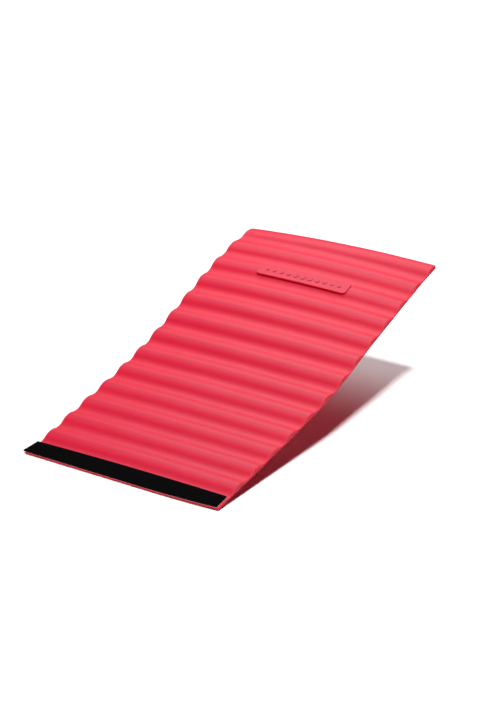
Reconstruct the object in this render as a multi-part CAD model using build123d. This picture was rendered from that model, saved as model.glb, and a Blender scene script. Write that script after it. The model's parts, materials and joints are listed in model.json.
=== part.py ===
from build123d import *
import os
from math import asin, atan, cos, degrees, radians, sin, tan

# A ridged foam wrap that closes round a foam exercise roller.
# The sheet is flat underneath and waved on top. Its ridges run along X, and it is bent only
# across its thin valleys, so each ridge is a segment of its own, hinged to the next one along
# the underside of the valley between them. X is the width, +Y leads from the front edge to the
# far edge, +Z is up. The front edge stands on the floor at z = 0. All sizes are millimetres.

# Driving dimensions: the foam sheet
WIDTH = 285.0
PITCH = 37.5
RIDGES = 12
FRONT_LAND = 27.5
FAR_LAND = 30.0
VALLEY_THICKNESS = 2.2
RIDGE_HEIGHT = 4.2
CREST_TO_VALLEY_RADIUS = 1.3
HINGE_GAP = 0.36
CORNER_RADIUS = 1.5

# The slope in degrees of the front land, of each ridge and of the far land: the sheet rises
# from its front edge, steepest near the far end
ANGLES = [12.5, 15, 15, 15, 15, 17, 19, 21, 22, 22, 22, 21, 18.5, 15.5]

# The two halves of the hook and loop closure
TAPE_WIDTH = 25.0
TAPE_EDGE_MARGIN = 1.0
TAPE_SIDE_MARGIN = 3.0
TAPE_SELVEDGE = 1.0
ADHESIVE_THICKNESS = 0.15
HOOK_BACKING_THICKNESS = 0.7
HOOK_HEIGHT = 1.1
LOOP_BACKING_THICKNESS = 0.6
LOOP_HEIGHT = 0.8

# The raised badge on the eleventh ridge: its flat top stands this far above the crest
BADGE_RIDGE = 11
BADGE_LENGTH = 137.0
BADGE_DEPTH = 21.0
BADGE_HEIGHT = 0.9
BADGE_CORNER_RADIUS = 5.0
BADGE_OFFSET = -3.0
MARK_COUNT = 11
MARK_SPACING = 11.0
MARK_SMALLEST = 4.0
MARK_LARGEST = 8.0
MARK_HEIGHT = 0.8

# Two tangent arcs make the wave: a valley arc and a wider crest arc, which meet at the
# steepest slope
STEEPEST = 2 * atan(RIDGE_HEIGHT / (PITCH / 2))
RADII_SUM = PITCH / 2 / sin(STEEPEST)
VALLEY_RADIUS = RADII_SUM / (1 + CREST_TO_VALLEY_RADIUS)
CREST_RADIUS = RADII_SUM - VALLEY_RADIUS
CREST_CENTRE = (PITCH / 2, VALLEY_THICKNESS + RIDGE_HEIGHT - CREST_RADIUS)

# The sheet's reach over the floor, from the top of its front edge to the bottom of its far one
LENGTHS = [FRONT_LAND] + [PITCH] * RIDGES + [FAR_LAND]
FRONT_OVERHANG = VALLEY_THICKNESS * sin(radians(ANGLES[0]))
REACH = sum(length * cos(radians(angle)) for length, angle in zip(LENGTHS, ANGLES))
MIDDLE = (REACH - FRONT_OVERHANG) / 2

# Sections are drawn with x along the sheet and y out of its top face, and extruded in +X
SECTION = Plane(origin=(-WIDTH / 2, 0, 0), x_dir=(0, 1, 0), z_dir=(1, 0, 0))


def valley_point(centre_x, angle):
    """A point on the valley arc about centre_x, at an angle from the bottom of the valley."""
    x = centre_x + VALLEY_RADIUS * sin(angle)
    return (x, VALLEY_THICKNESS + VALLEY_RADIUS * (1 - cos(angle)))


def crest_point(angle, radius=CREST_RADIUS):
    """A point on an arc about the crest's centre, at an angle from its top."""
    return (CREST_CENTRE[0] + radius * sin(angle), CREST_CENTRE[1] + radius * cos(angle))


def lean(index):
    """Half of the rest angle at the hinge before a segment, by which its end face leans."""
    return tan(radians(ANGLES[index] - ANGLES[index - 1]) / 2) * VALLEY_THICKNESS


def place(shape, index):
    """Move a shape from its segment's own frame to the segment's place in the raised sheet."""
    y = sum(LENGTHS[i] * cos(radians(ANGLES[i])) for i in range(index))
    z = sum(LENGTHS[i] * sin(radians(ANGLES[i])) for i in range(index))
    return Location((0, y - MIDDLE, z)) * Location((0, 0, 0), (ANGLES[index], 0, 0)) * shape


def ridge(index):
    """One full ridge, from the middle of a valley to the middle of the next one."""
    start_low = (HINGE_GAP / 2, 0)
    start_high_x = HINGE_GAP / 2 + lean(index)
    end_low = (PITCH - HINGE_GAP / 2, 0)
    end_high_x = HINGE_GAP / 2 + lean(index + 1)
    rise = asin(start_high_x / VALLEY_RADIUS)
    fall = asin(end_high_x / VALLEY_RADIUS)
    outline = [
        Line(start_low, valley_point(0, rise)),
        ThreePointArc(
            valley_point(0, rise),
            valley_point(0, (rise + STEEPEST) / 2),
            valley_point(0, STEEPEST),
        ),
        ThreePointArc(crest_point(-STEEPEST), crest_point(0), crest_point(STEEPEST)),
        ThreePointArc(
            valley_point(PITCH, -STEEPEST),
            valley_point(PITCH, -(fall + STEEPEST) / 2),
            valley_point(PITCH, -fall),
        ),
        Line(valley_point(PITCH, -fall), end_low),
        Line(end_low, start_low),
    ]
    return extrude(SECTION * make_face(outline), WIDTH)


def front_land():
    """The flat strip of foam ahead of the first valley, which carries the hook tape."""
    end_high_x = FRONT_LAND - HINGE_GAP / 2 - lean(1)
    outline = Polyline(
        (0, 0),
        (0, VALLEY_THICKNESS),
        (end_high_x, VALLEY_THICKNESS),
        (FRONT_LAND - HINGE_GAP / 2, 0),
        close=True,
    )
    land = extrude(SECTION * make_face(outline), WIDTH)
    return fillet(land.edges().filter_by(Axis.Z).group_by(Axis.Y)[0], CORNER_RADIUS)


def far_land():
    """The last crest, cut off by the far edge, with the loop tape under it."""
    start_high_x = HINGE_GAP / 2 + lean(RIDGES + 1)
    rise = asin(start_high_x / VALLEY_RADIUS)
    fall = asin((PITCH - FAR_LAND) / VALLEY_RADIUS)
    top_end = valley_point(PITCH, -fall)
    outline = [
        Line((HINGE_GAP / 2, 0), valley_point(0, rise)),
        ThreePointArc(
            valley_point(0, rise),
            valley_point(0, (rise + STEEPEST) / 2),
            valley_point(0, STEEPEST),
        ),
        ThreePointArc(crest_point(-STEEPEST), crest_point(0), crest_point(STEEPEST)),
    ]
    if fall < STEEPEST:
        middle = valley_point(PITCH, -(fall + STEEPEST) / 2)
        outline.append(ThreePointArc(crest_point(STEEPEST), middle, top_end))
    outline.append(Line(top_end, (FAR_LAND, 0)))
    outline.append(Line((FAR_LAND, 0), (HINGE_GAP / 2, 0)))
    land = extrude(SECTION * make_face(outline), WIDTH)
    return fillet(land.edges().filter_by(Axis.Z).group_by(Axis.Y)[-1], CORNER_RADIUS)


def tape_layer(near_edge, low, thickness, selvedge=0.0):
    """One flat layer of a tape: it ends short of the sheet's +X side and meets the -X side."""
    length = WIDTH - TAPE_SIDE_MARGIN
    depth = TAPE_WIDTH - 2 * selvedge
    centre_y = near_edge + TAPE_WIDTH / 2
    layer = Box(length, depth, thickness, align=(Align.CENTER, Align.CENTER, Align.MIN))
    return Location((-TAPE_SIDE_MARGIN / 2, centre_y, low)) * layer


def badge_plate():
    """A flat-topped plate over the crest, cut to the wave underneath, with rounded corners."""
    top = VALLEY_THICKNESS + RIDGE_HEIGHT + BADGE_HEIGHT
    plan = RectangleRounded(BADGE_LENGTH, BADGE_DEPTH, BADGE_CORNER_RADIUS)
    return Location((BADGE_OFFSET, PITCH / 2, 0)) * extrude(plan, top) - ridge(BADGE_RIDGE)


def badge_marks():
    """A row of raised dots on the badge, largest in the middle."""
    base = VALLEY_THICKNESS + RIDGE_HEIGHT + BADGE_HEIGHT
    dots = []
    for i in range(MARK_COUNT):
        from_middle = i - (MARK_COUNT - 1) / 2
        shrink = abs(from_middle) / ((MARK_COUNT - 1) / 2)
        diameter = MARK_LARGEST - (MARK_LARGEST - MARK_SMALLEST) * shrink
        dot = Cylinder(
            diameter / 2, MARK_HEIGHT, align=(Align.CENTER, Align.CENTER, Align.MIN)
        )
        place_x = BADGE_OFFSET + from_middle * MARK_SPACING
        dots.append(Location((place_x, PITCH / 2, base)) * dot)
    return Compound(children=dots)


nodes = {"foam_front_land": place(front_land(), 0)}
for number in range(1, RIDGES + 1):
    nodes[f"foam_ridge_{number:02d}"] = place(ridge(number), number)
nodes["foam_far_land"] = place(far_land(), RIDGES + 1)

hook_start = TAPE_EDGE_MARGIN
hook_base = VALLEY_THICKNESS + ADHESIVE_THICKNESS
hook_top = hook_base + HOOK_BACKING_THICKNESS
nodes["hook_tape_adhesive"] = place(
    tape_layer(hook_start, VALLEY_THICKNESS, ADHESIVE_THICKNESS), 0
)
nodes["hook_tape_backing"] = place(tape_layer(hook_start, hook_base, HOOK_BACKING_THICKNESS), 0)
nodes["hook_tape_hooks"] = place(tape_layer(hook_start, hook_top, HOOK_HEIGHT, TAPE_SELVEDGE), 0)

loop_start = FAR_LAND - TAPE_EDGE_MARGIN - TAPE_WIDTH
loop_base = -ADHESIVE_THICKNESS - LOOP_BACKING_THICKNESS
far = RIDGES + 1
nodes["loop_tape_adhesive"] = place(
    tape_layer(loop_start, -ADHESIVE_THICKNESS, ADHESIVE_THICKNESS), far
)
nodes["loop_tape_backing"] = place(
    tape_layer(loop_start, loop_base, LOOP_BACKING_THICKNESS), far
)
nodes["loop_tape_pile"] = place(
    tape_layer(loop_start, loop_base - LOOP_HEIGHT, LOOP_HEIGHT, TAPE_SELVEDGE), far
)

nodes["badge_plate"] = place(badge_plate(), BADGE_RIDGE)
nodes["badge_marks"] = place(badge_marks(), BADGE_RIDGE)

os.makedirs("parts", exist_ok=True)
for name, shape in nodes.items():
    export_step(shape, f"parts/{name}.step")

length = sum(LENGTHS)
print(f"{len(nodes)} nodes, sheet {length:.1f} long, steepest wave slope {degrees(STEEPEST):.1f}")
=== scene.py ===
import json
from math import asin, atan, atan2, cos, pi, radians, sin

import bpy
import numpy as np
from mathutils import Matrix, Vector


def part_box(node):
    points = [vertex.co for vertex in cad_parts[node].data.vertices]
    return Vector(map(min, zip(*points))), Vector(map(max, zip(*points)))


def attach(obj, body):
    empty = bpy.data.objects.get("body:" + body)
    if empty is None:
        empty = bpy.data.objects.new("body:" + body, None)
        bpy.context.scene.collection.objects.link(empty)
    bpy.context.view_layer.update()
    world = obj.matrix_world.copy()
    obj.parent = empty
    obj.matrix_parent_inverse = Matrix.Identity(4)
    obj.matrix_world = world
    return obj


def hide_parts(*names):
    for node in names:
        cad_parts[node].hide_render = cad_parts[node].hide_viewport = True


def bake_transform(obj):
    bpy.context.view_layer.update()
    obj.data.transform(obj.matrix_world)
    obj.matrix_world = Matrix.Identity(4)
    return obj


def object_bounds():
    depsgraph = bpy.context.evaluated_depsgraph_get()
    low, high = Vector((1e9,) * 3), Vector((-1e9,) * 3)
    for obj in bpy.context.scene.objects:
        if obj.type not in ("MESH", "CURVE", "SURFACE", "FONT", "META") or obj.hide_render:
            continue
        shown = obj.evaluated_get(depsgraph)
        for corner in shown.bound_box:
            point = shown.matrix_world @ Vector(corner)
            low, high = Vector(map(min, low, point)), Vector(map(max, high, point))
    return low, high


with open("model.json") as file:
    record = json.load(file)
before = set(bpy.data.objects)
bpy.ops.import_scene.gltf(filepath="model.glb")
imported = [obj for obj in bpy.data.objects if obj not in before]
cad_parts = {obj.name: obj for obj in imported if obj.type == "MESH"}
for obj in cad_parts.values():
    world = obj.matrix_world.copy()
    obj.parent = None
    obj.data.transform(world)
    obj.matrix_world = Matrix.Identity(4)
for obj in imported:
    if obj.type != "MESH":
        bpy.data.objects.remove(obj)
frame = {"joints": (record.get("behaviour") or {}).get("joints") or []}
cad_low, cad_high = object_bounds()

# A ridged foam wrap for an exercise roller. Lengths are metres. "Along" runs up the sheet from
# its front edge, "across" runs with the ridges in X, and "up" leads out of the waved face.

# ---------------------------------------------------------------- the sheet, from the frame
RIDGES = 12
HINGES = sorted(
    (j for j in frame["joints"] if j["name"].startswith("curl_")), key=lambda j: j["name"]
)
HINGE_POINTS = [Vector(j["pos_m"]) for j in HINGES]
BODIES = ["front_land"] + [f"ridge_{i:02d}" for i in range(1, RIDGES + 1)] + ["far_land"]
FOAM_NODES = ["foam_" + body for body in BODIES]

HALF_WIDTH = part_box("foam_front_land")[1].x
PITCH = (HINGE_POINTS[1] - HINGE_POINTS[0]).length
FRONT_LAND = 0.0275
FAR_LAND = 0.030
FRONT_SLOPE = asin(HINGE_POINTS[0].z / FRONT_LAND)
FAR_SLOPE = radians(15.5)

VALLEY_THICKNESS = 0.0022
RIDGE_HEIGHT = 0.0042
CREST_TO_VALLEY_RADIUS = 1.3
STEEPEST = 2 * atan(RIDGE_HEIGHT / (PITCH / 2))
VALLEY_RADIUS = PITCH / 2 / sin(STEEPEST) / (1 + CREST_TO_VALLEY_RADIUS)
CREST_RADIUS = VALLEY_RADIUS * CREST_TO_VALLEY_RADIUS
VALLEY_REACH = VALLEY_RADIUS * sin(STEEPEST)
CREST_CENTRE = VALLEY_THICKNESS + RIDGE_HEIGHT - CREST_RADIUS
LENGTH = FRONT_LAND + RIDGES * PITCH + FAR_LAND

# Each segment of the sheet starts at a hinge, the first one at the front edge
FRONT_EDGE = HINGE_POINTS[0] - Vector((0, cos(FRONT_SLOPE), sin(FRONT_SLOPE))) * FRONT_LAND
STARTS = [FRONT_EDGE] + HINGE_POINTS
SLOPES = [
    atan2(b.z - a.z, b.y - a.y) for a, b in zip(STARTS, STARTS[1:])
] + [FAR_SLOPE]
ALONG = [0.0] + [FRONT_LAND + i * PITCH for i in range(RIDGES + 1)]

# The foam bends only where it is thin. The tapes on the two lands keep the foam under them flat.
HOOK_EDGE = 0.0015
LOOP_EDGE = 0.004
BEND_STARTS = [-HOOK_EDGE] + [-VALLEY_REACH] * RIDGES
BEND_ENDS = [VALLEY_REACH] * RIDGES + [LOOP_EDGE]

# How the limp sheet strays from its straight segments, in millimetres, at places along it:
# how much its middle arches up, how much its +X side twists up, how much all of it lifts, and
# how far its -X and +X sides stand out.
STRAY = np.array([
    (0, -0.7, 0.1, 0.7, 3.5, 0.5),
    (27.5, 1.8, 1.1, 0.0, 0.5, 0.3),
    (75, 1.4, 0.6, -0.8, 0.2, 0.5),
    (190, 2.1, 0.1, -0.8, -1.4, 2.5),
    (262, 2.4, 0.3, -0.3, -2.0, 4.9),
    (340, 3.6, 0.1, 0.3, -0.6, 3.4),
    (400, 4.6, -0.5, -0.2, 0.9, 2.6),
    (450, 4.8, -0.8, -1.0, 0.8, 1.2),
    (479, 4.5, 0.2, 0.0, -0.4, 1.6),
    (507.5, 4.6, 3.6, -0.7, -1.6, 3.0),
]) / 1000

# How far the +X end of the front edge is drawn back
DRAWN_BACK = 0.0035
# How far a ridge strays from a straight line, and the two sizes of unevenness in its height
WANDER = 0.00022
WAVE_HEIGHT = 0.00009
RIPPLE_HEIGHT = 0.00003
# The front land is even as far as EVEN_TO, and the unevenness sets in over EVEN_FADE
EVEN_TO = 0.030
EVEN_FADE = 0.01
# How round the foam's upper edge, its lower edge and its corners are
EDGE_RADIUS = 0.0006
UNDER_RADIUS = 0.0004
CORNER_RADIUS = 0.0022
# The spacing of the foam's mesh, and its closer rows and columns next to an edge
ROW_STEP = 0.0008
COLUMN_STEP = 0.004
EDGE_ROWS = np.array([0.0, 0.04, 0.12, 0.25, 0.42, 0.6]) * 1e-3
EDGE_COLUMNS = np.append(EDGE_ROWS, [0.001, 0.002])


def smooth(t):
    t = np.clip(t, 0, 1)
    return t * t * (3 - 2 * t)


def thickness(along):
    """How thick the foam is: a flat front land, then valley arcs and crest arcs in turn."""
    q = np.mod(np.maximum(along - FRONT_LAND, 0), PITCH)
    from_valley = np.minimum(q, PITCH - q)
    near = np.minimum(from_valley, VALLEY_REACH)
    valley = VALLEY_THICKNESS + VALLEY_RADIUS - np.sqrt(VALLEY_RADIUS**2 - near**2)
    from_crest = np.minimum(PITCH / 2 - from_valley, CREST_RADIUS)
    crest = CREST_CENTRE + np.sqrt(CREST_RADIUS**2 - from_crest**2)
    return np.where(from_valley < VALLEY_REACH, valley, crest)


def stray(along, column):
    """One column of STRAY at any place along the sheet, on a smooth curve through its rows."""
    places, values = STRAY[:, 0], STRAY[:, column]
    slopes = np.gradient(values, places)
    row = np.clip(np.searchsorted(places, along, side="right") - 1, 0, len(places) - 2)
    step = places[row + 1] - places[row]
    t = np.clip((along - places[row]) / step, 0, 1)
    start, end = values[row], values[row + 1]
    lift = (1 + 2 * t) * (1 - t) ** 2 * start + t * t * (3 - 2 * t) * end
    return lift + step * (t * (1 - t) ** 2 * slopes[row] - t * t * (1 - t) * slopes[row + 1])


def bow(along, across):
    """How far the sheet stands off its straight segments."""
    u = np.clip(across / HALF_WIDTH, -1.05, 1.05)
    return stray(along, 1) * (1 - u * u) + stray(along, 2) * u + stray(along, 3)


def spread(along, across):
    """Across, moved out with the nearer side of the sheet."""
    u = across / HALF_WIDTH
    left = np.clip(-u, 0, 1.1) ** 2 * stray(along, 4)
    right = np.clip(u, 0, 1.1) ** 2 * stray(along, 5)
    return across - left + right


def unevenness(along, across):
    """Slow waves of a tenth of a millimetre, as moulded foam has."""
    wave = np.sin(across * 61 + 3 * np.sin(along * 23)) * np.sin(along * 37 + across * 11 + 1.3)
    ripple = np.sin(across * 173 + along * 59 + 0.7) * np.sin(along * 149 - across * 31)
    return WAVE_HEIGHT * wave + RIPPLE_HEIGHT * ripple


def wander(along, across):
    """How far a ridge strays from a straight line."""
    return WANDER * np.sin(across * 34 + along * 19 + 0.4) * np.sin(across * 13 - along * 47)


def drawn_back(along, across):
    """How far the +X end of the front edge lies back from the line of the rest."""
    u = np.clip((across / HALF_WIDTH - 0.3) / 0.7, 0, 1.1)
    return DRAWN_BACK * u * u * np.clip(1 - along / FRONT_LAND, 0, 1)


def on_segment(index, local, across, up):
    """Points on one rigid segment, in the row frame. local is measured from its start."""
    start, slope = STARTS[index], SLOPES[index]
    local = local + drawn_back(ALONG[index] + local, across)
    along = ALONG[index] + local
    up = up + bow(along, across)
    y = start.y + local * cos(slope) - up * sin(slope)
    z = start.z + local * sin(slope) + up * cos(slope)
    return np.stack(np.broadcast_arrays(spread(along, across), y, z), axis=-1)


def over_hinge(index, local, across, up):
    """Points on the foam on both sides of a hinge, bent smoothly over it. local is 0 there."""
    hinge = HINGE_POINTS[index]
    span = BEND_ENDS[index] - BEND_STARTS[index]
    share = smooth((local - BEND_STARTS[index]) / span)
    slope = SLOPES[index] + share * (SLOPES[index + 1] - SLOPES[index])
    along = ALONG[index + 1] + local
    up = up + bow(along, across)
    local = local + drawn_back(along, across)
    y = hinge.y + local * np.cos(slope) - up * np.sin(slope)
    z = hinge.z + local * np.sin(slope) + up * np.cos(slope)
    return np.stack(np.broadcast_arrays(spread(along, across), y, z), axis=-1)


# ---------------------------------------------------------------- mesh helpers
def grid_normals(points, upward):
    """Normals of a grid of points, on its upper side or on its lower side."""
    down_rows = np.gradient(points, axis=0)
    down_columns = np.gradient(points, axis=1)
    normals = np.cross(down_columns, down_rows)
    normals /= np.linalg.norm(normals, axis=-1, keepdims=True) + 1e-12
    middle = normals[normals.shape[0] // 2, normals.shape[1] // 2]
    flip = -1 if (middle[2] < 0) == upward else 1
    return normals * flip


# The underside's texture is moved along, so that it doesn't repeat the top's
UNDER_UV_SHIFT = np.array([0.0, 0.05])


def closed_slab(name, top, under, uv, top_normals=None, under_normals=None, wall_material=0):
    """A closed solid from an upper and a lower grid of points that match, with walls between."""
    rows, columns = top.shape[:2]
    count = rows * columns
    index = np.arange(count).reshape(rows, columns)
    quads = np.stack(
        [index[:-1, :-1], index[:-1, 1:], index[1:, 1:], index[1:, :-1]], axis=-1
    ).reshape(-1, 4)
    across, along = top[0, 1] - top[0, 0], top[1, 0] - top[0, 0]
    middle = top[rows // 2, columns // 2] - under[rows // 2, columns // 2]
    inside_out = np.dot(np.cross(across, along), middle) < 0
    if inside_out:
        quads = quads[:, ::-1]
    border = np.concatenate([index[0, :], index[1:, -1], index[-1, -2::-1], index[-2:0:-1, 0]])
    following = np.roll(border, -1)
    walls = np.stack([following, border, border + count, following + count], axis=-1)
    if inside_out:
        walls = walls[:, ::-1]
    faces = np.concatenate([quads, quads[:, ::-1] + count, walls])
    points = np.concatenate([top.reshape(-1, 3), under.reshape(-1, 3)])
    mesh = bpy.data.meshes.new(name)
    mesh.from_pydata(points.tolist(), [], faces.tolist())
    layer = mesh.uv_layers.new(name="surface")
    corners = np.zeros(len(mesh.loops), int)
    mesh.loops.foreach_get("vertex_index", corners)
    flat_uv = uv.reshape(-1, 2)
    place = np.concatenate([flat_uv, flat_uv + UNDER_UV_SHIFT])
    layer.data.foreach_set("uv", place[corners].astype(np.float32).ravel())
    mesh.polygons.foreach_set("use_smooth", np.ones(len(faces), bool))
    material = np.zeros(len(faces), np.int32)
    material[2 * len(quads) :] = wall_material
    mesh.polygons.foreach_set("material_index", material)
    if top_normals is not None:
        per_vertex = np.concatenate([top_normals.reshape(-1, 3), under_normals.reshape(-1, 3)])
        loop_normals = per_vertex[corners]
        wall_loops = np.repeat(np.arange(2 * len(quads), len(faces)), 4)
        face_normals = np.zeros(len(faces) * 3, np.float32)
        mesh.polygons.foreach_get("normal", face_normals)
        loop_normals[8 * len(quads) :] = face_normals.reshape(-1, 3)[wall_loops]
        mesh.normals_split_custom_set(loop_normals.tolist())
    mesh.update()
    piece = bpy.data.objects.new(name, mesh)
    bpy.context.scene.collection.objects.link(piece)
    return piece


def edge_spacing(half, fine, step):
    """Positions from -half to half, close together near both ends, where they follow fine."""
    inner = half - fine[-1]
    count = max(2, round(2 * inner / step))
    middle = np.linspace(-inner, inner, count + 1)
    low = -half + np.array(fine[:-1])
    return np.concatenate([low, middle, -low[::-1]])


def rounded_plan(half_x, half_y, radius, fine, step):
    """A grid over a rounded rectangle, and each point's distance from its outline."""
    xs = edge_spacing(half_x, fine, step)
    ys = edge_spacing(half_y, fine, step)
    x, y = np.meshgrid(xs, ys)
    corner_x = np.abs(x) - (half_x - radius)
    corner_y = np.abs(y) - (half_y - radius)
    in_corner = (corner_x > 0) & (corner_y > 0)
    reach = np.hypot(corner_x, corner_y) + 1e-12
    square = np.maximum(corner_x, corner_y)
    shrink = np.where(in_corner, square / reach, 1.0)
    new_x = np.where(in_corner, np.sign(x) * (half_x - radius + corner_x * shrink), x)
    new_y = np.where(in_corner, np.sign(y) * (half_y - radius + corner_y * shrink), y)
    plain = np.minimum(half_x - np.abs(x), half_y - np.abs(y))
    distance = np.where(in_corner, radius - square, plain)
    return new_x, new_y, distance


def rounding(distance, radius):
    """How far a rounded edge falls below the flat, at a distance from the edge."""
    short = np.clip(radius - distance, 0, radius)
    return radius - np.sqrt(radius**2 - short**2)


def raised_rim(distance, height, inset, width):
    """A low rim that follows the outline, a little way in from it."""
    return height * np.exp(-(((distance - inset) / width) ** 2))


def thread_field(name, paths, radii, sides):
    """Many short threads in one mesh. paths is threads x points x 3, radii one for each point."""
    threads, stations = paths.shape[:2]
    tangent = np.gradient(paths, axis=1)
    tangent /= np.linalg.norm(tangent, axis=-1, keepdims=True)
    side = np.cross(tangent, tangent[:, :1] + np.array([0.31, 0.17, 0.0]))
    side /= np.linalg.norm(side, axis=-1, keepdims=True) + 1e-12
    other = np.cross(tangent, side)
    turn = np.arange(sides) * 2 * pi / sides
    ring = (
        side[:, :, None, :] * np.cos(turn)[None, None, :, None]
        + other[:, :, None, :] * np.sin(turn)[None, None, :, None]
    )
    points = paths[:, :, None, :] + ring * radii[None, :, None, None]
    first = np.arange(threads)[:, None, None] * stations * sides
    station = np.arange(stations - 1)[None, :, None] * sides
    k = np.arange(sides)[None, None, :]
    a = first + station + k
    b = first + station + (k + 1) % sides
    quads = np.stack([a, b, b + sides, a + sides], axis=-1).reshape(-1, 4).tolist()
    root = (np.arange(threads) * stations * sides)[:, None]
    roots = root + np.arange(sides)[None, ::-1]
    tips = root + np.arange(sides)[None, :] + (stations - 1) * sides
    caps = roots.tolist() + tips.tolist()
    mesh = bpy.data.meshes.new(name)
    mesh.from_pydata(points.reshape(-1, 3).tolist(), [], quads + caps)
    mesh.polygons.foreach_set("use_smooth", np.ones(len(mesh.polygons), bool))
    mesh.update()
    piece = bpy.data.objects.new(name, mesh)
    bpy.context.scene.collection.objects.link(piece)
    return piece


# ---------------------------------------------------------------- materials
def new_material(name):
    material = bpy.data.materials.new(name)
    material.use_nodes = True
    nodes = material.node_tree.nodes
    return material, nodes, material.node_tree.links, nodes["Principled BSDF"]


def stretched(nodes, links, scale):
    """The surface's own coordinates, in metres, scaled apart across and along."""
    place = nodes.new("ShaderNodeTexCoord")
    mapping = nodes.new("ShaderNodeMapping")
    mapping.inputs["Scale"].default_value = scale
    links.new(place.outputs["UV"], mapping.inputs["Vector"])
    return mapping.outputs["Vector"]


def noise(nodes, links, vector, scale, detail=2.0, roughness=0.5):
    node = nodes.new("ShaderNodeTexNoise")
    node.inputs["Scale"].default_value = scale
    node.inputs["Detail"].default_value = detail
    node.inputs["Roughness"].default_value = roughness
    links.new(vector, node.inputs["Vector"])
    return node.outputs["Fac"]


def ramp(nodes, links, value, low, high, low_colour, high_colour):
    node = nodes.new("ShaderNodeValToRGB")
    node.color_ramp.elements[0].position = low
    node.color_ramp.elements[1].position = high
    node.color_ramp.elements[0].color = (*low_colour, 1)
    node.color_ramp.elements[1].color = (*high_colour, 1)
    links.new(value, node.inputs["Fac"])
    return node.outputs["Color"]


def between(nodes, links, value, low, high):
    """value from 0 to 1, spread from low to high."""
    node = nodes.new("ShaderNodeMapRange")
    node.inputs["To Min"].default_value = low
    node.inputs["To Max"].default_value = high
    links.new(value, node.inputs["Value"])
    return node.outputs["Result"]


def mixed(nodes, links, factor, first, second):
    """Two colours mixed. factor is a number or a socket, each colour a tuple or a socket."""
    node = nodes.new("ShaderNodeMix")
    node.data_type = "RGBA"
    if isinstance(factor, float):
        node.inputs["Factor"].default_value = factor
    else:
        links.new(factor, node.inputs["Factor"])
    for socket, value in (("A", first), ("B", second)):
        target = next(i for i in node.inputs if i.name == socket and i.type == "RGBA")
        if isinstance(value, tuple):
            target.default_value = (*value, 1)
        else:
            links.new(value, target)
    return next(o for o in node.outputs if o.type == "RGBA")


def bump(nodes, links, height, strength, distance, normal=None):
    node = nodes.new("ShaderNodeBump")
    node.inputs["Strength"].default_value = strength
    node.inputs["Distance"].default_value = distance
    links.new(height, node.inputs["Height"])
    if normal is not None:
        links.new(normal, node.inputs["Normal"])
    return node.outputs["Normal"]


# How much light the thin foam lets through, and how far each colour of it spreads inside
GLOW = 0.6
GLOW_REACH = 0.008
GLOW_COLOURS = (1.0, 0.03, 0.25)
FOAM_RED = (0.61, 0.001, 0.034)
FOAM_RED_DEEP = (0.58, 0.001, 0.029)
STREAK_DEEP = (0.53, 0.001, 0.026)
STREAK_PALE = (0.64, 0.003, 0.038)
STREAK_SHARE = 0.10
# The first cell colour is painted shade for the hollows of the open cells, the second is the foam
# between them
CELL_PIT_SHADE = (0.42, 0.006, 0.022)
CELL_PALE = (0.66, 0.012, 0.032)
TAPE_BLACK = (0.0008, 0.0008, 0.001)
# The paler tape black is a painted highlight on the raised threads of the weave
TAPE_BLACK_LIT_THREAD = (0.003, 0.0028, 0.0033)
GLUE_DEEP = (0.55, 0.36, 0.34)
GLUE_PALE = (0.75, 0.58, 0.52)
FLOOR_GREY = (0.93, 0.93, 0.93)
FLOOR_PALE = (0.95, 0.95, 0.95)


def foam_skin():
    """Moulded closed-cell foam: a satin skin with a fine grain and faint drawn streaks."""
    material, nodes, links, shader = new_material("foam_skin")
    streak_place = stretched(nodes, links, (14, 420, 1))
    streaks = noise(nodes, links, streak_place, 1.0, 3.0, 0.6)
    even_place = stretched(nodes, links, (1, 1, 1))
    grain = noise(nodes, links, even_place, 2600, 2.0, 0.55)
    cloud = noise(nodes, links, even_place, 26, 3.0, 0.55)
    tone = mixed(nodes, links, between(nodes, links, cloud, 0.0, 1.0), FOAM_RED_DEEP, FOAM_RED)
    streak_tone = ramp(nodes, links, streaks, 0.35, 0.65, STREAK_DEEP, STREAK_PALE)
    streaked = mixed(nodes, links, STREAK_SHARE, tone, streak_tone)
    links.new(streaked, shader.inputs["Base Color"])
    links.new(between(nodes, links, grain, 0.44, 0.60), shader.inputs["Roughness"])
    fine = bump(nodes, links, grain, 0.16, 0.0002)
    links.new(bump(nodes, links, streaks, 0.10, 0.0004, fine), shader.inputs["Normal"])
    shader.inputs["Specular IOR Level"].default_value = 0.5
    shader.subsurface_method = "RANDOM_WALK"
    shader.inputs["Subsurface Weight"].default_value = GLOW
    shader.inputs["Subsurface Radius"].default_value = GLOW_COLOURS
    shader.inputs["Subsurface Scale"].default_value = GLOW_REACH
    return material


def foam_cut():
    """The cut sides of the foam, where the cells lie open, with painted shade in the hollow of each
    cell.
    """
    material, nodes, links, shader = new_material("foam_cut")
    place = nodes.new("ShaderNodeTexCoord")
    cells = nodes.new("ShaderNodeTexVoronoi")
    cells.inputs["Scale"].default_value = 2200
    links.new(place.outputs["Object"], cells.inputs["Vector"])
    depth = cells.outputs["Distance"]
    # Painted shade: the colour darkens towards each cell's hollow, where the bump is lowest
    colour = ramp(nodes, links, depth, 0.1, 0.6, CELL_PIT_SHADE, CELL_PALE)
    links.new(colour, shader.inputs["Base Color"])
    rough = noise(nodes, links, place.outputs["Object"], 900)
    links.new(between(nodes, links, rough, 0.7, 0.9), shader.inputs["Roughness"])
    links.new(bump(nodes, links, depth, 0.5, 0.0003), shader.inputs["Normal"])
    return material


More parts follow.
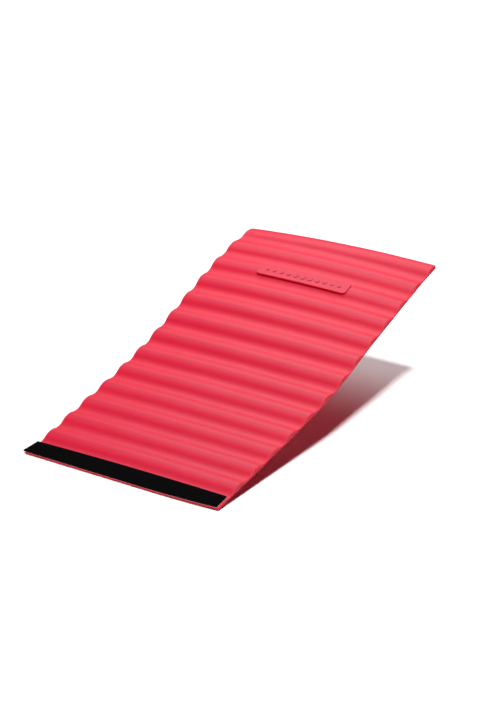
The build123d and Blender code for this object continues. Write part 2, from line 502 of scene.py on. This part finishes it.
def black_tape():
    """Woven black nylon: a fine plain weave across and along the tape, painted paler on the raised
    threads and darker between them as highlight and shade.
    """
    material, nodes, links, shader = new_material("tape_weave")
    place = stretched(nodes, links, (1, 1, 1))
    weft = nodes.new("ShaderNodeTexWave")
    weft.bands_direction = "Y"
    weft.inputs["Scale"].default_value = 520
    weft.inputs["Distortion"].default_value = 1.2
    links.new(place, weft.inputs["Vector"])
    warp = nodes.new("ShaderNodeTexWave")
    warp.bands_direction = "X"
    warp.inputs["Scale"].default_value = 430
    warp.inputs["Distortion"].default_value = 0.8
    links.new(place, warp.inputs["Vector"])
    weave = mixed(nodes, links, 0.5, weft.outputs["Color"], warp.outputs["Color"])
    # Painted highlight and shade: paler where the weave's bump is high, darker in the grooves
    # between threads
    colour = ramp(nodes, links, weave, 0.2, 0.9, TAPE_BLACK, TAPE_BLACK_LIT_THREAD)
    links.new(colour, shader.inputs["Base Color"])
    rough = noise(nodes, links, place, 800)
    links.new(between(nodes, links, rough, 0.62, 0.82), shader.inputs["Roughness"])
    links.new(bump(nodes, links, weave, 0.5, 0.0003), shader.inputs["Normal"])
    shader.inputs["Specular IOR Level"].default_value = 0.02
    return material


def black_thread(name, light, roughness_low, roughness_high):
    """Black nylon filament, for the hooks and the loops."""
    material, nodes, links, shader = new_material(name)
    place = nodes.new("ShaderNodeTexCoord")
    vary = noise(nodes, links, place.outputs["Object"], 700)
    dark = (light * 0.5,) * 3
    pale = (light * 1.2, light * 1.15, light * 1.3)
    colour = ramp(nodes, links, vary, 0.3, 0.7, dark, pale)
    links.new(colour, shader.inputs["Base Color"])
    links.new(between(nodes, links, vary, roughness_low, roughness_high), shader.inputs["Roughness"])
    links.new(bump(nodes, links, vary, 0.2, 0.0001), shader.inputs["Normal"])
    shader.inputs["Specular IOR Level"].default_value = 0.02
    return material


def adhesive_film():
    """The pale glue line under each tape."""
    material, nodes, links, shader = new_material("adhesive_film")
    place = nodes.new("ShaderNodeTexCoord")
    vary = noise(nodes, links, place.outputs["Object"], 300, 3.0)
    colour = ramp(nodes, links, vary, 0.3, 0.7, GLUE_DEEP, GLUE_PALE)
    links.new(colour, shader.inputs["Base Color"])
    links.new(between(nodes, links, vary, 0.3, 0.5), shader.inputs["Roughness"])
    links.new(bump(nodes, links, vary, 0.2, 0.0002), shader.inputs["Normal"])
    return material


def pale_floor():
    """A plain matt floor, close to white."""
    material, nodes, links, shader = new_material("pale_floor")
    place = nodes.new("ShaderNodeTexCoord")
    vary = noise(nodes, links, place.outputs["Object"], 3.0, 2.0)
    colour = ramp(nodes, links, vary, 0.3, 0.7, FLOOR_GREY, FLOOR_PALE)
    links.new(colour, shader.inputs["Base Color"])
    shader.inputs["Roughness"].default_value = 0.7
    shader.inputs["Specular IOR Level"].default_value = 0.2
    return material


SKIN = foam_skin()
CUT = foam_cut()
WEAVE = black_tape()
HOOK_NYLON = black_thread("hook_nylon", 0.0018, 0.6, 0.8)
LOOP_NYLON = black_thread("loop_nylon", 0.006, 0.7, 0.9)
GLUE = adhesive_film()


# ---------------------------------------------------------------- the foam sheet
def foam_piece(index):
    """The foam over one hinge, from one crest to the next, or from or to an end of the sheet."""
    is_first, is_last = index == 0, index == RIDGES
    before = -FRONT_LAND if is_first else -PITCH / 2
    after = FAR_LAND if is_last else PITCH / 2
    rows = np.linspace(before, after, round((after - before) / ROW_STEP) + 1)
    if is_first:
        rows = np.concatenate([before + EDGE_ROWS, rows[rows > before + 0.001]])
    else:
        rows = np.concatenate([[before - ROW_STEP], rows])
    if is_last:
        rows = np.concatenate([rows[rows < after - 0.001], after - EDGE_ROWS[::-1]])
    else:
        rows = np.concatenate([rows, [after + ROW_STEP]])
    share = edge_spacing(1.0, EDGE_COLUMNS / HALF_WIDTH, COLUMN_STEP / HALF_WIDTH)
    local, fraction = np.meshgrid(rows, share, indexing="ij")
    along = ALONG[index + 1] + local
    to_end = np.clip(np.minimum(along, LENGTH - along), 0, CORNER_RADIUS)
    half = HALF_WIDTH - CORNER_RADIUS + np.sqrt(
        CORNER_RADIUS**2 - (CORNER_RADIUS - to_end) ** 2
    )
    across = fraction * half
    from_edge = np.minimum(half - np.abs(across), np.minimum(along, LENGTH - along))
    from_edge = np.maximum(from_edge, 0)
    uneven = smooth((along - EVEN_TO) / EVEN_FADE)
    top_height = thickness(along + uneven * wander(along, across))
    top_height = top_height + uneven * unevenness(along, across) - rounding(from_edge, EDGE_RADIUS)
    top = over_hinge(index, local, across, top_height)
    under = over_hinge(index, local, across, rounding(from_edge, UNDER_RADIUS))
    top_normals, under_normals = grid_normals(top, True), grid_normals(under, False)
    uv = np.stack([across, along], axis=-1)
    keep = slice(0 if is_first else 1, None if is_last else -1)
    name = f"foam_{BODIES[index]}_to_{BODIES[index + 1]}"
    piece = closed_slab(
        name, top[keep], under[keep], uv[keep], top_normals[keep], under_normals[keep], 1
    )
    piece.data.materials.append(SKIN)
    piece.data.materials.append(CUT)
    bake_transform(piece)
    return piece


foam = [foam_piece(index) for index in range(RIDGES + 1)]
for index, piece in enumerate(foam):
    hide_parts(FOAM_NODES[index])
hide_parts(FOAM_NODES[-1])


# ---------------------------------------------------------------- the badge
BADGE_SEGMENT = 11
BADGE_HEIGHT = 0.0009
BADGE_DEPTH = 0.021
BADGE_CORNER = 0.005
# How deep the plate is sunk into the wave
BADGE_SKIRT = 0.0007
BADGE_EDGE_RADIUS = 0.0006
BADGE_STEP = 0.0012
BADGE_FINE = [0.0, 0.00005, 0.00015, 0.0003, 0.0005, 0.0008, 0.0012, 0.0018, 0.0028]
plate_low, plate_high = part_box("badge_plate")
BADGE_MIDDLE = (plate_low.x + plate_high.x) / 2
BADGE_LENGTH = plate_high.x - plate_low.x
BADGE_TOP = VALLEY_THICKNESS + RIDGE_HEIGHT + BADGE_HEIGHT
MARKS = 11
MARK_SPACING = 0.011
MARK_SMALLEST = 0.004
MARK_LARGEST = 0.008
MARK_HEIGHT = 0.0008
MARK_EDGE_RADIUS = 0.0004
MARK_STEP = 0.0005
MARK_FINE = [0.0, 0.00005, 0.00012, 0.00022, 0.00035, 0.0005]
# How deep a mark is sunk into the plate
MARK_ROOT = 0.0003


def badge_plate():
    """A flat-topped plate over the crest, with soft edges, sunk a little into the wave."""
    x, y, distance = rounded_plan(
        BADGE_LENGTH / 2, BADGE_DEPTH / 2, BADGE_CORNER, BADGE_FINE, BADGE_STEP
    )
    x, local = x + BADGE_MIDDLE, y + PITCH / 2
    along = ALONG[BADGE_SEGMENT] + local
    rim = raised_rim(distance, 0.00012, 0.0011, 0.0006)
    high = BADGE_TOP + rim - rounding(distance, BADGE_EDGE_RADIUS)
    low = thickness(along) - BADGE_SKIRT
    top = on_segment(BADGE_SEGMENT, local, x, high)
    under = on_segment(BADGE_SEGMENT, local, x, low)
    piece = closed_slab("badge_plate_foam", top, under, np.stack([x, along], axis=-1))
    piece.data.materials.append(SKIN)
    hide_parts("badge_plate")
    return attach(piece, BODIES[BADGE_SEGMENT])


def badge_mark(number):
    """A raised round dot with a soft edge."""
    from_middle = number - (MARKS - 1) / 2
    shrink = abs(from_middle) / ((MARKS - 1) / 2)
    radius = (MARK_LARGEST - (MARK_LARGEST - MARK_SMALLEST) * shrink) / 2
    x, y, distance = rounded_plan(radius, radius, radius, MARK_FINE, MARK_STEP)
    x = x + BADGE_MIDDLE + from_middle * MARK_SPACING
    local = y + PITCH / 2
    high = BADGE_TOP + MARK_HEIGHT - rounding(distance, MARK_EDGE_RADIUS)
    top = on_segment(BADGE_SEGMENT, local, x, high)
    under = on_segment(BADGE_SEGMENT, local, x, np.full_like(x, BADGE_TOP - MARK_ROOT))
    along = ALONG[BADGE_SEGMENT] + local
    piece = closed_slab(
        f"badge_dot_{number + 1:02d}", top, under, np.stack([x, along], axis=-1)
    )
    piece.data.materials.append(SKIN)
    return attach(piece, BODIES[BADGE_SEGMENT])


badge_plate()
marks = [badge_mark(number) for number in range(MARKS)]
for piece in marks:
    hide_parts("badge_marks")


# ---------------------------------------------------------------- the hook and loop tapes
TAPE_WIDTH = 0.025
TAPE_MARGIN = 0.001
FRONT_SEGMENT = 0
FAR_SEGMENT = RIDGES + 1
TAPE_ALONG = {
    FRONT_SEGMENT: (TAPE_MARGIN, TAPE_MARGIN + TAPE_WIDTH),
    FAR_SEGMENT: (FAR_LAND - TAPE_MARGIN - TAPE_WIDTH, FAR_LAND - TAPE_MARGIN),
}
# The hook tape is stuck on a little askew, so that its -X end stands past the foam
OVERHANG = {FRONT_SEGMENT: 0.0025, FAR_SEGMENT: 0.0}
TAPE_CORNER = 0.0006
TAPE_EDGE_RADIUS = 0.00025
TAPE_FINE = [0.0, 0.00005, 0.00015, 0.0003, 0.0006]
TAPE_STEP = 0.0025
SELVEDGE = 0.001
ADHESIVE = 0.00015
# The glue sinks into what it joins, and spreads past the tape's edge
GLUE_SINK = 0.00005
GLUE_SPREAD = 0.00012
HOOK_BACKING = 0.0007
# The dense roots of the hooks make the backing look thicker
HOOK_ROOTS = 0.0007
LOOP_BACKING = 0.0006
HOOK_SPACING = (0.0015, 0.00125)
HOOK_JITTER = 0.00009
HOOK_SEED = 11
LOOP_SPACING = (0.00135, 0.00125)
LOOP_JITTER = 0.00025
LOOP_SEED = 23
LOOP_REACH = 0.00055
LOOP_THREAD = 0.00007


def tape_ends(segment, node, inset):
    """Where a tape starts and ends across the sheet, with inset taken off both ends."""
    low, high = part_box(node)
    return low.x + inset - OVERHANG[segment], high.x - inset


def tape_slab(name, segment, node, base, height, inset, sign=1):
    """One layer of a tape on a segment: base and height are measured out of the foam."""
    x_low, x_high = tape_ends(segment, node, inset)
    near, far = TAPE_ALONG[segment]
    near, far = near + inset, far - inset
    x, y, distance = rounded_plan(
        (x_high - x_low) / 2, (far - near) / 2, TAPE_CORNER, TAPE_FINE, TAPE_STEP
    )
    x = x + (x_low + x_high) / 2
    local = y + (near + far) / 2
    rib = raised_rim(distance, 0.00006, 0.0012, 0.0006)
    outer = base + sign * (height + rib - rounding(distance, TAPE_EDGE_RADIUS))
    inner = np.full_like(x, base)
    high, low = (outer, inner) if sign > 0 else (inner, outer)
    top, under = on_segment(segment, local, x, high), on_segment(segment, local, x, low)
    return closed_slab(name, top, under, np.stack([x, local], axis=-1))


def thread_places(segment, node, spacing, jitter, seed):
    """Staggered rows of thread roots over a tape, each a little out of place."""
    dice = np.random.default_rng(seed)
    x_low, x_high = tape_ends(segment, node, SELVEDGE)
    near, far = TAPE_ALONG[segment]
    xs = np.arange(x_low, x_high, spacing[0])
    ys = np.arange(near + SELVEDGE * 1.3, far - SELVEDGE * 1.3, spacing[1])
    x, y = np.meshgrid(xs, ys)
    x = x + np.where(np.arange(len(ys)) % 2, spacing[0] / 2, 0)[:, None]
    row = np.broadcast_to(np.arange(len(ys))[:, None], x.shape)
    x = (x + dice.normal(0, jitter, x.shape)).ravel()
    y = (y + dice.normal(0, jitter, y.shape)).ravel()
    keep = x < x_high
    return x[keep], y[keep], row.ravel()[keep], dice


def hook_field():
    """Rows of small nylon hooks, bent towards one edge of the tape and the other by turns."""
    x, y, row, dice = thread_places(
        FRONT_SEGMENT, "hook_tape_hooks", HOOK_SPACING, HOOK_JITTER, HOOK_SEED
    )
    # One hook's outline: how far it reaches out, how high it is, and its radius there
    reach = np.array([0.0, 0.0, 0.02, 0.12, 0.30, 0.44, 0.47]) * 1e-3
    rise = np.array([-0.15, 0.35, 0.66, 0.90, 0.98, 0.86, 0.66]) * 1e-3
    radii = np.array([0.14, 0.13, 0.12, 0.12, 0.115, 0.10, 0.07]) * 1e-3
    heading = np.where(row % 2, 0.5, -0.5) * pi + dice.normal(0, 0.22, len(x))
    tall = 1 + dice.normal(0, 0.04, len(x))
    base = VALLEY_THICKNESS + ADHESIVE + HOOK_BACKING
    across = x[:, None] + reach[None] * np.cos(heading)[:, None]
    local = y[:, None] + reach[None] * np.sin(heading)[:, None]
    up = base + rise[None] * tall[:, None]
    paths = on_segment(FRONT_SEGMENT, local, across, up)
    return thread_field("hook_tape_hook_field", paths, radii, 4)


def loop_field():
    """A pile of fine nylon loops that lean every way."""
    x, y, _, dice = thread_places(
        FAR_SEGMENT, "loop_tape_pile", LOOP_SPACING, LOOP_JITTER, LOOP_SEED
    )
    turn = np.linspace(-0.15, 1.15, 8) * pi
    span = -np.cos(turn) * LOOP_REACH
    rise = np.maximum(np.sin(turn), -0.25)
    heading = dice.uniform(0, 2 * pi, len(x))
    lean = dice.uniform(-0.25, 0.25, len(x)) * 1e-3
    tall = dice.uniform(0.00045, 0.00072, len(x))
    base = -ADHESIVE - LOOP_BACKING
    out = rise[None] * tall[:, None]
    sideways = np.maximum(rise, 0)[None] * lean[:, None]
    ahead_x, ahead_y = np.cos(heading)[:, None], np.sin(heading)[:, None]
    across = x[:, None] + span[None] * ahead_x - sideways * ahead_y
    local = y[:, None] + span[None] * ahead_y + sideways * ahead_x
    radii = np.full(len(turn), LOOP_THREAD)
    paths = on_segment(FAR_SEGMENT, local, across, base - out)
    return thread_field("loop_tape_loop_field", paths, radii, 3)


def finish_layer(piece, material, node, body):
    """Give one layer of a tape its material and body, and hide the CAD node it stands for."""
    piece.data.materials.append(material)
    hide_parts(node)
    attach(piece, body)


def hook_tape():
    """The hook tape on top of the front land."""
    body, backing_node = BODIES[FRONT_SEGMENT], "hook_tape_backing"
    backing = tape_slab(
        "hook_tape_weave", FRONT_SEGMENT, backing_node, VALLEY_THICKNESS + ADHESIVE,
        HOOK_BACKING + HOOK_ROOTS, 0,
    )
    finish_layer(backing, WEAVE, backing_node, body)
    finish_layer(hook_field(), HOOK_NYLON, "hook_tape_hooks", body)
    glue = tape_slab(
        "hook_tape_glue_line", FRONT_SEGMENT, backing_node, VALLEY_THICKNESS - GLUE_SINK,
        ADHESIVE + 2 * GLUE_SINK, -GLUE_SPREAD,
    )
    finish_layer(glue, GLUE, "hook_tape_adhesive", body)


def loop_tape():
    """The loop tape under the far land."""
    body, backing_node = BODIES[FAR_SEGMENT], "loop_tape_backing"
    backing = tape_slab(
        "loop_tape_weave", FAR_SEGMENT, backing_node, -ADHESIVE, LOOP_BACKING, 0, -1
    )
    finish_layer(backing, WEAVE, backing_node, body)
    finish_layer(loop_field(), LOOP_NYLON, "loop_tape_pile", body)
    glue = tape_slab(
        "loop_tape_glue_line", FAR_SEGMENT, backing_node, GLUE_SINK,
        ADHESIVE + 2 * GLUE_SINK, -GLUE_SPREAD, -1,
    )
    finish_layer(glue, GLUE, "loop_tape_adhesive", body)


hook_tape()
loop_tape()


# ---------------------------------------------------------------- floor, light and camera
CENTRE = (cad_low + cad_high) / 2
CAMERA_AZIMUTH = radians(35.11)
CAMERA_ELEVATION = radians(22.01)
CAMERA_DISTANCE = 3.1307
CAMERA_LENS = 125
# How far right of the middle of the object, and below it, the camera aims
AIM_RIGHT = 0.0053
AIM_DOWN = 0.0024
FLOOR_HALF = 8.0
FLOOR_HEIGHT = -0.0003

# The key light: where it comes from, its strength, and how large it looks
KEY_TOWARDS = (0.268, -0.205, 0.942)
KEY_STRENGTH = 3.65
KEY_ANGLE = radians(7.5)
# The softbox behind: its place from the middle of the object, its diameter and its power
SOFTBOX_PLACE = (-0.40, 0.55, 0.92)
SOFTBOX_SIZE = 0.9
SOFTBOX_POWER = 6.6
# The room: where it is brightest, its strength away from there and right there, and its colour
ROOM_TOWARDS = (-0.45, 0.5, 0.74)
ROOM_LOW = 0.005
ROOM_HIGH = 0.12
ROOM_COLOUR = (0.93, 0.95, 1, 1)


def make_camera():
    data = bpy.data.cameras.new("camera")
    data.lens = CAMERA_LENS
    data.clip_end = 50
    camera = bpy.data.objects.new("camera", data)
    bpy.context.scene.collection.objects.link(camera)
    a, e = CAMERA_AZIMUTH, CAMERA_ELEVATION
    back = Vector((sin(a) * cos(e), -cos(a) * cos(e), sin(e)))
    right = Vector((cos(a), sin(a), 0))
    aim = CENTRE + right * AIM_RIGHT - back.cross(right) * AIM_DOWN
    camera.location = aim + back * CAMERA_DISTANCE
    camera.rotation_euler = (-back).to_track_quat("-Z", "Y").to_euler()
    bpy.context.scene.camera = camera


def make_floor():
    half, z = FLOOR_HALF, FLOOR_HEIGHT
    mesh = bpy.data.meshes.new("floor")
    corners = [(-half, -half, z), (half, -half, z), (half, half, z), (-half, half, z)]
    mesh.from_pydata(corners, [], [(0, 1, 2, 3)])
    floor = bpy.data.objects.new("floor", mesh)
    bpy.context.scene.collection.objects.link(floor)
    floor.data.materials.append(pale_floor())


def area_light(name, place, size, power):
    """A round soft light at a place from the middle of the object, turned to face it."""
    data = bpy.data.lights.new(name, "AREA")
    data.shape = "DISK"
    data.size = size
    data.energy = power
    light = bpy.data.objects.new(name, data)
    bpy.context.scene.collection.objects.link(light)
    light.location = CENTRE + Vector(place)
    light.rotation_euler = (-Vector(place)).to_track_quat("-Z", "Y").to_euler()


def sun_light(name, towards, strength, angle):
    """A light from far away. towards points from the object to the light."""
    data = bpy.data.lights.new(name, "SUN")
    data.energy = strength
    data.angle = angle
    light = bpy.data.objects.new(name, data)
    bpy.context.scene.collection.objects.link(light)
    light.rotation_euler = (-Vector(towards)).to_track_quat("-Z", "Y").to_euler()


def make_world(towards, low, high):
    """A dim room, brightest in one direction."""
    world = bpy.data.worlds.new("studio")
    world.use_nodes = True
    nodes, links = world.node_tree.nodes, world.node_tree.links
    background = nodes["Background"]
    direction = nodes.new("ShaderNodeTexCoord")
    facing = nodes.new("ShaderNodeVectorMath")
    facing.operation = "DOT_PRODUCT"
    facing.inputs[1].default_value = Vector(towards).normalized()
    links.new(direction.outputs["Generated"], facing.inputs[0])
    glow = nodes.new("ShaderNodeMapRange")
    glow.interpolation_type = "SMOOTHSTEP"
    glow.inputs["From Min"].default_value = 0.5
    glow.inputs["From Max"].default_value = 1.0
    glow.inputs["To Min"].default_value = low
    glow.inputs["To Max"].default_value = high
    links.new(facing.outputs["Value"], glow.inputs["Value"])
    links.new(glow.outputs["Result"], background.inputs["Strength"])
    background.inputs["Color"].default_value = ROOM_COLOUR
    bpy.context.scene.world = world


make_camera()
make_floor()
make_world(ROOM_TOWARDS, ROOM_LOW, ROOM_HIGH)
sun_light("key", KEY_TOWARDS, KEY_STRENGTH, KEY_ANGLE)
area_light("back_softbox", SOFTBOX_PLACE, SOFTBOX_SIZE, SOFTBOX_POWER)
bpy.context.scene.view_settings.view_transform = "Standard"
